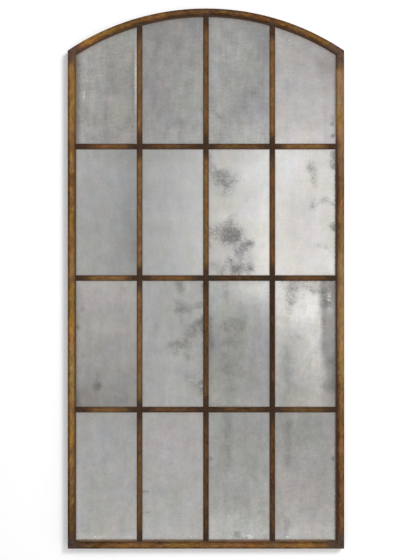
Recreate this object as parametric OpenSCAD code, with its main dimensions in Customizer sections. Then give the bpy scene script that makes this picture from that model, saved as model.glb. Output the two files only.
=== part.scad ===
// Arched window-pane mirror. A formed steel frame with a segmental arch holds a
// grid of bevelled steel bars, and sixteen separate panes of antiqued mirror lie
// behind the grid. A board closes the back, with clips round its edge, and two
// D-rings on the stiles hang the mirror on a wall.
// The front faces -Y, the wall is at +Y and Z is up. The origin is at the foot,
// in the middle of the width and of the depth.

/* [Frame] */
// Overall width of the frame
frame_w = 1066; // [980:1:1160]
// Overall height, to the crown of the arch
frame_h = 2082; // [1980:1:2200]
// Rise of the arch from the corner to the crown
arch_rise = 162; // [130:1:200]
// Depth of the frame from its face to its back
frame_d = 25.4; // [24:0.1:30]
// Width of the frame seen from the front, with its inner bevel
face_w = 32; // [30:0.5:36]
// Width of the crowned band outside the bevel
band_w = 26; // [24:0.5:28]
// Radius of the crown across the band
crown_r = 70; // [50:1:120]
// Radius of the outer front corner
edge_r = 3; // [2:0.5:4]
// Width of the flat back of the frame
flange_w = 22; // [20:0.5:24]
// Thickness of the formed steel
wall = 1.5; // [1.2:0.1:2]

/* [Grid] */
// Width of a bar
bar_w = 22; // [16:0.5:24]
// Width of the bevel along each front edge of a bar
bar_bevel_w = 4; // [2:0.5:5]
// Depth of that bevel
bar_bevel_d = 2.5; // [1:0.1:2.8]
// Setback of the front of a bar from the front of the frame
bar_setback = 4; // [3:0.5:5]
// Height of the middle of the lowest cross bar
first_bar_z = 535.5; // [500:0.5:560]
// Distance from one cross bar to the next
row_pitch = 507.5; // [480:0.5:520]

/* [Glass and back] */
// Depth at which the glass lies behind the frame's face
glass_seat_d = 10; // [9.5:0.1:10.5]
// Thickness of the mirror glass
glass_t = 3; // [3:0.5:4]
// Gap between panes, and round them in the frame
pane_gap = 3; // [2:0.5:4]
// Diameter of a dab of mastic
dab_dia = 40; // [20:1:60]
// Thickness of a dab of mastic
dab_t = 1.5; // [1:0.1:2]
// Thickness of the backing board
board_t = 5; // [4:0.5:5]

/* [Back clips] */
// Width of a clip
clip_w = 16; // [12:1:24]
// Thickness of a clip
clip_t = 1.2; // [1:0.1:1.5]
// Length of the toe that lies on the board
clip_toe = 14; // [8:1:24]
// Radius inside a clip's bends
clip_bend_r = 0.4; // [0.3:0.1:0.4]
// Radius of a clip's corners in plan
clip_corner_r = 3; // [1:0.5:5]
// Radius of a screw's shank
screw_r = 2; // [1.8:0.1:2.2]
// Radius of a pan head
pan_head_r = 3.8; // [3.5:0.1:4.5]
// Height of a pan head
pan_head_h = 2.2; // [1.5:0.1:2.4]

/* [Hangers] */
// Height of a ring's pivot
hanger_z = 1700; // [1500:10:1780]
// Width of a strap
strap_w = 11; // [8:0.5:11]
// Thickness of a strap
strap_t = 1.5; // [1.2:0.1:1.5]
// Length of a strap below the pivot
strap_len = 52; // [45:1:80]
// Radius of the ring's wire
wire_r = 2; // [1.5:0.1:2]
// Free width inside a ring
ring_gap = 12.4; // [12:0.1:12.6]
// Length of a ring from its pivot to its far side
ring_len = 19.2; // [16:0.1:22]

/* [Wall bumpers] */
// Radius of a bumper
bumper_r = 8; // [6:0.5:9]
// Thickness of a bumper
bumper_t = 8.5; // [8.5:0.5:12]
// Height of the lower and the upper bumpers
bumper_z = [60, 1850];

/* [Hidden] */
$fn = 64;
// Segments of the arch, whose radius is close to a metre
arch_fn = 360;
// Length by which a rail is drawn past its mitre before it is cut
spare = 3;

total_d = frame_d + bumper_t;
front_y = -total_d / 2;
back_y = front_y + frame_d;

// The arch is a circular segment through both corners and the crown.
arch_r = (pow(frame_w / 2, 2) + pow(arch_rise, 2)) / (2 * arch_rise);
arch_z = frame_h - arch_r;
corner_z = frame_h - arch_rise;
corner_angle = atan2(corner_z - arch_z, frame_w / 2);

// A frame section is drawn in u, inwards from the outer edge, and d, backwards
// from the face. The crown's arc meets the corner's arc at a common tangent.
crown_u = band_w / 2;
corner_d = crown_r - sqrt(pow(crown_r - edge_r, 2) - pow(crown_u - edge_r, 2));
band_edge_d = crown_r - sqrt(pow(crown_r, 2) - pow(band_w - crown_u, 2));
bevel_d = glass_seat_d - 2;
bevel_slope = (face_w - band_w) / (bevel_d - band_edge_d);
chamber_d = glass_seat_d - wall;

// Bars
bar_back_d = glass_seat_d;
bar_mid_d = (bar_setback + bar_back_d) / 2;
column_pitch = (frame_w - 2 * face_w + bar_w) / 4;
bar_x = [for (i = [-1:1]) i * column_pitch];
bar_z = [for (i = [0:2]) first_bar_z + i * row_pitch];
// Depth in the frame, from its outer edge, to which a bar is drawn before it is
// cut to fit the frame's bevel
bar_reach_u = 24;

// Panes and board
pane_edge_u = flange_w + pane_gap / 2;
board_front_d = glass_seat_d + glass_t + dab_t;
board_back_d = board_front_d + board_t;
pane_half_w = frame_w / 2 - pane_edge_u;
column_edge = [-pane_half_w - pane_gap / 2, bar_x[0], bar_x[1], bar_x[2], pane_half_w + pane_gap / 2];
row_edge = [frame_h, bar_z[2], bar_z[1], bar_z[0], pane_edge_u - pane_gap / 2];
// Place of a dab, as a share of its pane's width and height
dab_share = 0.26;

// Clips, on the stiles by height, on the bottom by place and on the arch by angle
clip_hole_r = screw_r + 0.1;
clip_screw_u = 12;
clip_foot_u = 5;
clip_leg_u = flange_w + 0.4;
clip_toe_u = clip_leg_u + clip_toe;
bend_steps = 6;
clip_z = [250, 760, 1270, 1780];
clip_x = [-330, 0, 330];
clip_angle = [72, 90, 108];
clip_screw_len = 9;
recess_w = 0.9;
recess_len = 4;
recess_depth = 0.9;

// Hangers, in a frame of their own with its origin at the pivot on the frame's back
hanger_x = frame_w / 2 - 11;
pivot_y = 3.9;
bore_r = wire_r + 0.08;
ring_bend_r = 2.5;
ring_mid_r = ring_gap / 2 + wire_r;
leg_len = ring_len - ring_mid_r - wire_r;
flat_head_r = 3.5;
strap_screw_z = [-26, -44];
strap_screw_len = 14;

PANES = [for (r = [1:4], c = [1:4]) str("pane_r", r, "_c", c)];

// Height on the arch, inset by u, at a distance x from the middle
function arch_height(x, u) = arch_z + sqrt(pow(arch_r - u, 2) - x * x);

// Point of the mitre between a left stile and the arch, inset by u
function mitre_point(u) = [-frame_w / 2 + u, arch_height(frame_w / 2 - u, u)];

// Frame section. Each surface can be inset, for the cavity inside the formed steel.

// Where the crown's arc meets the corner's
function tangent_u(inset) = crown_u - (crown_u - edge_r) * (crown_r - inset) / (crown_r - edge_r);

// The bevel's place at a depth
function bevel_u(d, inset) = band_w + (d - band_edge_d) * bevel_slope - inset * sqrt(1 + pow(bevel_slope, 2));

// The crowned band with its bevel, of which polygon points follow the bevel
module crowned(inset, bevel_points, to_d) {
    from_u = tangent_u(inset);
    intersection() {
        polygon(concat([[from_u, to_d], [from_u, -1], [bevel_u(-1, inset), -1]], bevel_points));
        translate([crown_u, crown_r]) circle(crown_r - inset, $fn = arch_fn);
    }
}

module filled_section() {
    translate([edge_r, corner_d]) circle(edge_r);
    crowned(0, [[face_w, bevel_d], [face_w, glass_seat_d]], glass_seat_d);
    translate([0, corner_d]) square([flange_w, frame_d - corner_d]);
}

module cavity_section() {
    translate([edge_r, corner_d]) circle(edge_r - wall);
    crowned(wall, [[bevel_u(chamber_d, wall), chamber_d]], chamber_d);
    translate([wall, corner_d]) square([flange_w - 2 * wall, frame_d - wall - corner_d]);
}

module rail_section() {
    difference() {
        filled_section();
        cavity_section();
    }
}

// What the end of a bar is cut against: the inner bevel and lip, filled behind
module bevel_section() {
    polygon([
        [bar_reach_u - 6, -1], [bevel_u(-1, 0), -1], [face_w, bevel_d],
        [face_w, glass_seat_d + 1], [bar_reach_u - 6, glass_seat_d + 1]
    ]);
}

// Places of a section along each rail: u points inwards, d points back and the
// rail's length runs along Z

module on_left_stile(z) {
    translate([-frame_w / 2, front_y, z]) children();
}

module on_right_stile(z) {
    mirror([1, 0, 0]) on_left_stile(z) children();
}

module on_bottom_rail(x) {
    translate([x, front_y, 0]) rotate([0, -90, 0]) children();
}

module on_arch(angle) {
    translate([0, front_y, arch_z]) rotate([0, 180 - angle, 0]) translate([-arch_r, 0, 0]) children();
}

module arch_sweep(end_angle) {
    translate([0, 0, arch_z])
        rotate([90, 0, 0])
            rotate([0, 0, end_angle])
                rotate_extrude(angle = 180 - 2 * end_angle, $fn = arch_fn)
                    translate([arch_r, -front_y])
                        rotate(180)
                            children();
}

// A cut right through the frame's depth, with an outline in X and Z
module through_cut(points) {
    translate([0, back_y + 1, 0]) rotate([90, 0, 0]) linear_extrude(frame_d + 2) polygon(points);
}

module screw_hole(r) {
    translate([0, frame_d - 2 * wall, 0]) rotate([-90, 0, 0]) cylinder(r = r, h = 3 * wall);
}

module clip_screw_hole() {
    translate([clip_screw_u, 0, 0]) screw_hole(clip_hole_r);
}

module hanger_screw_holes() {
    for (z = strap_screw_z) translate([frame_w / 2 - hanger_x, 0, hanger_z + z]) screw_hole(clip_hole_r);
}

// The triangle beyond the bottom mitre at the left corner, above the line or below it
module bottom_mitre(above) {
    corner = [-frame_w / 2 - 2 * spare, -2 * spare];
    inner = [-frame_w / 2 + face_w + 4, face_w + 4];
    through_cut([corner, inner, above ? [corner.x, inner.y] : [inner.x, corner.y]]);
}

// The same at the top left corner, along the line where the stile meets the arch
module top_mitre(above) {
    outer_point = mitre_point(0);
    slope = mitre_point(face_w) - outer_point;
    reach = above ? 60 : -60;
    start = outer_point - slope;
    finish = outer_point + 1.2 * slope;
    through_cut([start, finish, finish + [0, reach], start + [0, reach]]);
}

// Frame rails

module left_stile() {
    color("#87632f") difference() {
        on_left_stile(-spare) linear_extrude(corner_z + 2 * spare) rail_section();
        bottom_mitre(above = false);
        top_mitre(above = true);
        for (z = clip_z) on_left_stile(z) clip_screw_hole();
        on_left_stile(0) hanger_screw_holes();
    }
}

module bottom_rail() {
    color("#87632f") difference() {
        on_bottom_rail(frame_w / 2 + spare) linear_extrude(frame_w + 2 * spare) rail_section();
        bottom_mitre(above = true);
        mirror([1, 0, 0]) bottom_mitre(above = true);
        for (x = clip_x) on_bottom_rail(x) clip_screw_hole();
    }
}

module arch_rail() {
    color("#87632f") difference() {
        arch_sweep(corner_angle - 1) rail_section();
        top_mitre(above = false);
        mirror([1, 0, 0]) top_mitre(above = false);
        for (a = clip_angle) on_arch(a) clip_screw_hole();
    }
}

// Bars of the grid

// Section of a bar across its width and from its front to depth to_d
module bar_section(to_d) {
    half_w = bar_w / 2;
    flat = half_w - bar_bevel_w;
    shoulder_d = bar_setback + bar_bevel_d;
    polygon([
        [-half_w, to_d], [-half_w, shoulder_d], [-flat, bar_setback],
        [flat, bar_setback], [half_w, shoulder_d], [half_w, to_d]
    ]);
}

module upright(x, from_z, to_z, to_d) {
    translate([x, front_y, from_z]) linear_extrude(to_z - from_z) bar_section(to_d);
}

// An upright runs through in front at each crossing. Its back half is let out for
// the cross bar, and its ends are cut to the bevel of the frame.
module vertical_bar(i) {
    x = bar_x[i];
    color("#6f4a24") difference() {
        upright(x, bar_reach_u, arch_height(x, bar_reach_u), bar_back_d);
        for (z = bar_z)
            translate([x - bar_w, front_y + bar_mid_d, z - bar_w / 2])
                cube([2 * bar_w, bar_back_d - bar_mid_d + 1, bar_w]);
        on_bottom_rail(frame_w / 2) linear_extrude(frame_w) bevel_section();
        arch_sweep(corner_angle) bevel_section();
    }
}

// A cross bar keeps its back half at each crossing, and is scribed over the bevels
// of the upright in front.
module horizontal_bar(i) {
    z = bar_z[i];
    half_len = frame_w / 2 - bar_reach_u;
    color("#6f4a24") difference() {
        translate([half_len, front_y, z])
            rotate([0, -90, 0])
                linear_extrude(2 * half_len)
                    bar_section(bar_back_d);
        for (x = bar_x) upright(x, z - bar_w, z + bar_w, bar_mid_d);
        on_left_stile(z - bar_w) linear_extrude(2 * bar_w) bevel_section();
        on_right_stile(z - bar_w) linear_extrude(2 * bar_w) bevel_section();
    }
}

// Panes, backing and mastic

module sheet(x0, x1, z0, z1, front_d, thickness) {
    translate([x0, front_y + front_d, z0]) cube([x1 - x0, thickness, z1 - z0]);
}

module under_arch(front_d, thickness) {
    translate([0, front_y + front_d + thickness, arch_z])
        rotate([90, 0, 0])
            cylinder(r = arch_r - pane_edge_u, h = thickness, $fn = arch_fn);
}

// Row 1 is the arched one at the top, and column 1 is at the left from the front.
module pane(r, c) {
    x0 = column_edge[c - 1] + pane_gap / 2;
    x1 = column_edge[c] - pane_gap / 2;
    z0 = row_edge[r] + pane_gap / 2;
    z1 = row_edge[r - 1] - pane_gap / 2;
    color("#a9aaa6")
        if (r == 1) intersection() {
            sheet(x0, x1, z0, z1, glass_seat_d, glass_t);
            under_arch(glass_seat_d, glass_t);
        }
        else sheet(x0, x1, z0, z1, glass_seat_d, glass_t);
}

module mastic_dabs() {
    // The top row's dabs are spread over the height that its lowest corner leaves
    top_z = arch_height(pane_half_w, pane_edge_u);
    edges = [top_z, row_edge[1], row_edge[2], row_edge[3], row_edge[4]];
    color("#d8d2c4")
        for (r = [1:4], c = [1:4], i = [-1, 1], j = [-1, 1]) {
            mid = [(column_edge[c - 1] + column_edge[c]) / 2, (edges[r - 1] + edges[r]) / 2];
            span = [column_edge[c] - column_edge[c - 1], edges[r - 1] - edges[r]];
            translate([mid.x + i * dab_share * span.x, front_y + board_front_d, mid.y + j * dab_share * span.y])
                rotate([90, 0, 0])
                    cylinder(d = dab_dia, h = dab_t);
        }
}

module backing_board() {
    color("#9a7450") difference() {
        sheet(-pane_half_w, pane_half_w, pane_edge_u, frame_h, board_front_d, board_t);
        difference() {
            sheet(-frame_w / 2, frame_w / 2, arch_z, frame_h + 1, board_front_d - 1, board_t + 2);
            under_arch(board_front_d - 2, board_t + 4);
        }
    }
}

// Clips and their screws

module at_each_clip() {
    for (z = clip_z) {
        on_left_stile(z) children();
        on_right_stile(z) children();
    }
    for (x = clip_x) on_bottom_rail(x) children();
    for (a = clip_angle) on_arch(a) children();
}

// Points of an arc from one angle to another
function arc_points(centre, r, from, to) =
    [for (i = [0:bend_steps]) let (a = from + (to - from) * i / bend_steps) centre + r * [cos(a), sin(a)]];

// A strip bent twice: its foot is on the frame's back and its toe on the board
module clip_profile() {
    outer_r = clip_bend_r + clip_t;
    foot_bend = [clip_leg_u - clip_bend_r, frame_d - clip_bend_r];
    toe_bend = [clip_leg_u + outer_r, board_back_d + outer_r];
    polygon(concat(
        [[clip_foot_u, frame_d]],
        arc_points(foot_bend, clip_bend_r, 90, 0),
        arc_points(toe_bend, outer_r, 180, 270),
        [[clip_toe_u, board_back_d], [clip_toe_u, board_back_d + clip_t]],
        arc_points(toe_bend, clip_bend_r, 270, 180),
        arc_points(foot_bend, outer_r, 0, 90),
        [[clip_foot_u, frame_d + clip_t]]
    ));
}

// The strip's outline in plan, in u and along the rail, with rounded corners
module clip_plan() {
    ends = [clip_foot_u + clip_corner_r, clip_toe_u - clip_corner_r];
    sides = [clip_corner_r - clip_w / 2, clip_w / 2 - clip_corner_r];
    polygon(concat(
        arc_points([ends[1], sides[1]], clip_corner_r, 90, 0),
        arc_points([ends[1], sides[0]], clip_corner_r, 0, -90),
        arc_points([ends[0], sides[0]], clip_corner_r, 270, 180),
        arc_points([ends[0], sides[1]], clip_corner_r, 180, 90)
    ));
}

module backing_clip() {
    difference() {
        intersection() {
            translate([0, 0, -clip_w / 2]) linear_extrude(clip_w) clip_profile();
            translate([0, frame_d + 2 * clip_t, 0])
                rotate([90, 0, 0])
                    linear_extrude(frame_d)
                        clip_plan();
        }
        clip_screw_hole();
    }
}

module cross_recess(top_d) {
    for (a = [0, 90])
        translate([0, top_d, 0])
            rotate([0, a, 0])
                cube([recess_len, 2 * recess_depth, recess_w], center = true);
}

module pan_screw(seat_d, length) {
    difference() {
        union() {
            translate([0, seat_d - length, 0]) rotate([-90, 0, 0]) cylinder(r = screw_r, h = length);
            translate([0, seat_d, 0])
                rotate([-90, 0, 0])
                    rotate_extrude()
                        intersection() {
                            square([pan_head_r, pan_head_h]);
                            translate([0, pan_head_h - 2.2 * pan_head_r]) circle(2.2 * pan_head_r);
                        }
        }
        cross_recess(seat_d + pan_head_h);
    }
}

module flat_screw(top_d, length) {
    difference() {
        union() {
            translate([0, top_d - length, 0]) rotate([-90, 0, 0]) cylinder(r = screw_r, h = length);
            translate([0, top_d - strap_t, 0])
                rotate([-90, 0, 0])
                    cylinder(r1 = screw_r, r2 = flat_head_r, h = strap_t);
        }
        cross_recess(top_d);
    }
}

module backing_clips() {
    color("#9c9d9a") at_each_clip() backing_clip();
}

module clip_screws() {
    color("#b4b3ad") at_each_clip() translate([clip_screw_u, 0, 0]) pan_screw(frame_d + clip_t, clip_screw_len);
}

// Hangers

// side is -1 for the left one, seen from the front, and 1 for the right one
module at_hanger(side) {
    translate([side * hanger_x, back_y, hanger_z]) children();
}

module strap_outline() {
    difference() {
        union() {
            translate([0, -strap_len]) square([strap_t, strap_len]);
            translate([pivot_y, 0]) circle(bore_r + strap_t);
        }
        translate([pivot_y, 0]) circle(bore_r);
    }
}

module hanger_strap(side) {
    color("#b4b3ad") at_hanger(side) difference() {
        translate([-strap_w / 2, 0, 0])
            rotate([90, 0, 90])
                linear_extrude(strap_w)
                    strap_outline();
        for (z = strap_screw_z)
            translate([0, 0, z])
                rotate([-90, 0, 0])
                    translate([0, 0, -0.1])
                        cylinder(r1 = screw_r + 0.1, r2 = flat_head_r + 0.3, h = strap_t + 0.2);
    }
}

module wire(length) {
    cylinder(r = wire_r, h = length);
}

module wire_bend(bend_r, angle) {
    rotate_extrude(angle = angle) translate([bend_r, 0]) circle(wire_r);
}

// A D-ring that hangs down: its straight bar lies in the strap's loop
module hanger_ring(side) {
    bar_half = ring_mid_r - ring_bend_r;
    color("#c2c1bb") at_hanger(side) translate([0, pivot_y, 0]) {
        translate([-bar_half, 0, 0]) rotate([0, 90, 0]) wire(2 * bar_half);
        for (s = [0, 1]) mirror([s, 0, 0]) {
            translate([bar_half, 0, -ring_bend_r]) rotate([90, 0, 0]) wire_bend(ring_bend_r, 90);
            translate([ring_mid_r, 0, -leg_len]) wire(leg_len - ring_bend_r);
        }
        translate([0, 0, -leg_len]) rotate([90, 180, 0]) wire_bend(ring_mid_r, 180);
    }
}

module hanger_screws() {
    color("#b4b3ad")
        for (side = [-1, 1], z = strap_screw_z)
            at_hanger(side) translate([0, 0, z]) flat_screw(strap_t, strap_screw_len);
}

// Bumpers with a rounded rim and a flat face for the wall
module wall_bumpers() {
    rim_r = 1.5;
    color("#2b2a29")
        for (side = [-1, 1], z = bumper_z)
            translate([side * hanger_x, back_y, z])
                rotate([-90, 0, 0])
                    rotate_extrude() {
                        square([bumper_r - rim_r, bumper_t]);
                        square([bumper_r, bumper_t - rim_r]);
                        translate([bumper_r - rim_r, bumper_t - rim_r]) circle(rim_r);
                    }
}

bottom_rail();  // frame_bottom_rail
left_stile();  // frame_left_stile
mirror([1, 0, 0]) left_stile();  // frame_right_stile
arch_rail();  // frame_arch_rail
for (i = [0:2]) vertical_bar(i);
for (i = [0:2]) horizontal_bar(i);
for (r = [1:4], c = [1:4]) pane(r, c);
mastic_dabs();
backing_board();
backing_clips();
clip_screws();
hanger_strap(-1);  // left_hanger_strap
hanger_strap(1);  // right_hanger_strap
hanger_ring(-1);  // left_hanger_ring
hanger_ring(1);  // right_hanger_ring
hanger_screws();
wall_bumpers();
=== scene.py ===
"""Looks of an arched window-pane mirror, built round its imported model.

Everything is in metres, in the model's frame: the front faces -Y, the wall is at +Y, Z is
up, and the origin is at the foot, in the middle of the width and of the depth. A depth d
is measured backwards from the frame's face, and u inwards from the frame's outer edge.
"""

import math

import bpy
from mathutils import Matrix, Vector, noise


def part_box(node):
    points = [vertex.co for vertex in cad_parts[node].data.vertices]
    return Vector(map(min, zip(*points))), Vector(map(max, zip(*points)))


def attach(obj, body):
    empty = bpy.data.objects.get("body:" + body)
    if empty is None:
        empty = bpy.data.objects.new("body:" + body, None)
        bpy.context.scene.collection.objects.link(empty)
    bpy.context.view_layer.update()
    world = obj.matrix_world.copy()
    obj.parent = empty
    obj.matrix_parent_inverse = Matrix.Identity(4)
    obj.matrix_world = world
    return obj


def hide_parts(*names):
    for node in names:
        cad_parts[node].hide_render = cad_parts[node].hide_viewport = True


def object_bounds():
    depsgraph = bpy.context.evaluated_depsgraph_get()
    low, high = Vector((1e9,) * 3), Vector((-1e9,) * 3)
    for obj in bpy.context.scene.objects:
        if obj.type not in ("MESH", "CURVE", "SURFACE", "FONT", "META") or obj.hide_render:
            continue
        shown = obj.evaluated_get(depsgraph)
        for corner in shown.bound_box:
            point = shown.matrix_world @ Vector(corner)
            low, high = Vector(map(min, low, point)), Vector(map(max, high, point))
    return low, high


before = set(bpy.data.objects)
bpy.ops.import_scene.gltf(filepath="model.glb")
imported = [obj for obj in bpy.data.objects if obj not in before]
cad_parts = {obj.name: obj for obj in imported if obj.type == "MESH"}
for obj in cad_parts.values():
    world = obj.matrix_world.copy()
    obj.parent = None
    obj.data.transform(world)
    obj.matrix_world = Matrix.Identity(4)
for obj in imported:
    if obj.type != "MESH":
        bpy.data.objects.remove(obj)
cad_low, cad_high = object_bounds()

MM = 0.001

# Frame, as in the model
WIDTH = cad_high.x - cad_low.x
HEIGHT = cad_high.z
ARCH_RISE = 162 * MM
FRAME_D = 25.4 * MM
BUMPER_T = 8.5 * MM
FACE_W = 32 * MM
BAND_W = 26 * MM
FLANGE_W = 22 * MM
CROWN_R = 70 * MM
EDGE_R = 3 * MM
BEVEL_D = 8 * MM
GLASS_D = 10 * MM
GLASS_T = 3 * MM

FRONT_Y = cad_high.y - BUMPER_T - FRAME_D
ARCH_R = ((WIDTH / 2) ** 2 + ARCH_RISE**2) / (2 * ARCH_RISE)
ARCH_Z = HEIGHT - ARCH_R

# Bars, whose places are read from the model
BAR_BEVEL_W = 4 * MM
BAR_FRONT_D = 4 * MM
BAR_SHOULDER_D = 6.5 * MM
BAR_LAP_D = 7 * MM
BAR_END_U = 25.5 * MM


def middle(node, axis):
    low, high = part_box(node)
    return (low[axis] + high[axis]) / 2


BAR_X = [middle(f"vertical_bar_{i}", 0) for i in (1, 2, 3)]
BAR_Z = [middle(f"horizontal_bar_{i}", 2) for i in (1, 2, 3)]
BAR_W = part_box("vertical_bar_1")[1].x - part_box("vertical_bar_1")[0].x
BAR_FLAT = BAR_W / 2 - BAR_BEVEL_W

# Steps of the meshes
STATION = 6 * MM
SECTION_STEP = 2.5 * MM
PANE_STEP = 5 * MM
SHARP_ANGLE = math.radians(42)

# The hand finish of the metal: its depth everywhere and in places, and its wave lengths
SKIN = 0.08 * MM
FORGED = 0.3 * MM
FORGED_WAVE = 38 * MM
FORGED_RIPPLE = 11 * MM


def arch_height(x, u):
    """Height of the arch, inset by u, at a distance x from the middle."""
    return ARCH_Z + math.sqrt((ARCH_R - u) ** 2 - x * x)


def smooth(low, high, value):
    """0 below low, 1 above high, and a smooth rise between them."""
    t = min(1.0, max(0.0, (value - low) / (high - low)))
    return t * t * (3 - 2 * t)


def srgb(red, green, blue):
    """The linear colour of an 8-bit one."""
    return tuple(linear(v) for v in (red, green, blue)) + (1.0,)


def linear(value):
    v = value / 255
    return v / 12.92 if v <= 0.04045 else ((v + 0.055) / 1.055) ** 2.4


# Camera, light and stage

CAMERA_AT = Vector((0.0156, -4.017, 1.0356))
SENSOR = 36
LENS = 66.8
KEY_AT = Vector((4.0, -5.4, 4.6))
KEY_SIZE = 2.8
KEY_POWER = 365
WORLD_LIGHT = 0.47
WHITE = (1, 1, 1, 1)
WALL_WHITE = (0.96, 0.96, 0.96, 1)
WALL_GLOW = 0.13
WALL_GAP = 0.5 * MM
FLOOR_WHITE = (0.9, 0.9, 0.9, 1)
FLOOR_Z = -0.6
STAGE_REACH = 9.0


def new_object(name, data):
    made = bpy.data.objects.new(name, data)
    bpy.context.scene.collection.objects.link(made)
    return made


def mesh_object(name, vertices, faces, material):
    mesh = bpy.data.meshes.new(name)
    mesh.from_pydata(vertices, [], faces)
    mesh.materials.append(material)
    return new_object(name, mesh)


def make_camera():
    data = bpy.data.cameras.new("camera")
    data.sensor_width = SENSOR
    data.lens = LENS
    camera = new_object("camera", data)
    camera.location = CAMERA_AT
    camera.rotation_euler = (math.radians(90), 0, 0)
    bpy.context.scene.camera = camera


def make_key_light():
    data = bpy.data.lights.new("key", "AREA")
    data.shape = "DISK"
    data.size = KEY_SIZE
    data.energy = KEY_POWER
    lamp = new_object("key", data)
    lamp.location = KEY_AT
    aim = Vector((0, 0, HEIGHT / 2)) - KEY_AT
    lamp.rotation_euler = aim.to_track_quat("-Z", "Y").to_euler()
    lamp.visible_glossy = False


class Tree:
    """The nodes of a material or of the world. Each call adds a node and gives its output."""

    def __init__(self, owner):
        owner.use_nodes = True
        self.owner = owner
        self.nodes = owner.node_tree.nodes
        self.links = owner.node_tree.links

    def feed(self, socket, value):
        if isinstance(value, bpy.types.NodeSocket):
            self.links.new(value, socket)
        else:
            socket.default_value = value

    def add(self, kind, inputs=None, **settings):
        node = self.nodes.new(kind)
        for key, value in settings.items():
            setattr(node, key, value)
        for key, value in (inputs or {}).items():
            self.feed(node.inputs[key], value)
        return node

    def surface(self, **inputs):
        """Feeds the Principled shader, whose socket names have no underscores."""
        shader = self.nodes["Principled BSDF"]
        for key, value in inputs.items():
            self.feed(shader.inputs[key.replace("_", " ")], value)

    def cover(self, share, shader):
        """Lays another shader over the Principled one."""
        painted = self.nodes["Principled BSDF"].outputs[0]
        mixed = self.add("ShaderNodeMixShader", {0: share, 1: painted, 2: shader}).outputs[0]
        self.feed(self.nodes["Material Output"].inputs["Surface"], mixed)

    def object_point(self):
        return self.add("ShaderNodeTexCoord").outputs["Object"]

    def number(self, name):
        return self.add("ShaderNodeAttribute", attribute_name=name).outputs["Fac"]

    def colour(self, name):
        return self.add("ShaderNodeAttribute", attribute_name=name).outputs["Color"]

    def math(self, operation, *values):
        inputs = dict(enumerate(values))
        return self.add("ShaderNodeMath", inputs, operation=operation).outputs[0]

    def vary(self, base, texture, share):
        """A number that a texture moves up and down by up to half of a share."""
        return self.math("MULTIPLY_ADD", self.math("SUBTRACT", texture, 0.5), share, base)

    def vector(self, x, y, z):
        return self.add("ShaderNodeCombineXYZ", {0: x, 1: y, 2: z}).outputs[0]

    def stretch(self, vector, scale):
        return self.add("ShaderNodeMapping", {"Vector": vector, "Scale": scale}).outputs[0]

    def noise(self, vector, scale, detail, roughness, distortion=0.0):
        inputs = {"Vector": vector, "Scale": scale, "Detail": detail}
        inputs.update({"Roughness": roughness, "Distortion": distortion})
        return self.add("ShaderNodeTexNoise", inputs).outputs["Fac"]

    def step(self, value, low, high, to_low=0.0, to_high=1.0):
        """A smooth rise from to_low at low to to_high at high."""
        inputs = {"Value": value, "From Min": low, "From Max": high}
        inputs.update({"To Min": to_low, "To Max": to_high})
        node = self.add("ShaderNodeMapRange", inputs, interpolation_type="SMOOTHSTEP")
        return node.outputs["Result"]

    def mix(self, share, first, second, blend="MIX"):
        inputs = {0: share, 6: first, 7: second}
        return self.add("ShaderNodeMix", inputs, data_type="RGBA", blend_type=blend).outputs[2]

    def ramp(self, value, *stops):
        node = self.add("ShaderNodeValToRGB", {"Fac": value})
        elements = node.color_ramp.elements
        for position, colour in stops[2:]:
            elements.new(position)
        for element, (position, colour) in zip(elements, stops):
            element.position = position
            element.color = colour
        return node.outputs["Color"]

    def bump(self, height, distance, strength):
        inputs = {"Height": height, "Distance": distance, "Strength": strength}
        return self.add("ShaderNodeBump", inputs).outputs["Normal"]


def new_material(name):
    return Tree(bpy.data.materials.new(name))


def make_world():
    """White for the camera and in gloss, and a plain even light on the rest."""
    world = bpy.data.worlds.new("studio")
    bpy.context.scene.world = world
    tree = Tree(world)
    background = tree.nodes["Background"]
    background.inputs["Color"].default_value = WHITE
    paths = tree.add("ShaderNodeLightPath").outputs
    seen = tree.math("MAXIMUM", paths["Is Camera Ray"], paths["Is Glossy Ray"])
    seen = tree.math("MAXIMUM", seen, paths["Is Transmission Ray"])
    strength = tree.math("MULTIPLY_ADD", seen, 1 - WORLD_LIGHT, WORLD_LIGHT)
    tree.feed(background.inputs["Strength"], strength)


def make_sheet(name, corners, material):
    sheet = mesh_object(name, corners, [(0, 1, 2, 3)], material)
    return sheet


def wall_paint():
    """White wall that takes the mirror's shadow and isn't there from behind."""
    tree = new_material("wall_paint")
    tree.surface(Base_Color=WALL_WHITE, Roughness=1.0)
    tree.surface(Emission_Color=WHITE, Emission_Strength=WALL_GLOW)
    behind = tree.add("ShaderNodeNewGeometry").outputs["Backfacing"]
    tree.cover(behind, tree.add("ShaderNodeBsdfTransparent").outputs[0])
    return tree.owner


def make_wall():
    y = cad_high.y + WALL_GAP
    side = STAGE_REACH
    corners = [(-side, y, FLOOR_Z), (side, y, FLOOR_Z), (side, y, side), (-side, y, side)]
    wall = make_sheet("wall", corners, wall_paint())
    wall.visible_shadow = False
    wall.visible_diffuse = False
    wall.visible_glossy = False


def floor_paint():
    """Pale floor that is as white in gloss as the world."""
    tree = new_material("floor_paint")
    tree.surface(Base_Color=FLOOR_WHITE, Roughness=1.0)
    in_gloss = tree.add("ShaderNodeLightPath").outputs["Is Glossy Ray"]
    tree.cover(in_gloss, tree.add("ShaderNodeEmission").outputs[0])
    return tree.owner


def make_floor():
    ends = ((-1, -1), (1, -1), (1, 1), (-1, 1))
    corners = [(x * STAGE_REACH, y * STAGE_REACH, FLOOR_Z) for x, y in ends]
    make_sheet("floor", corners, floor_paint())


# Rubbed golden finish of the frame and the bars

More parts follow.
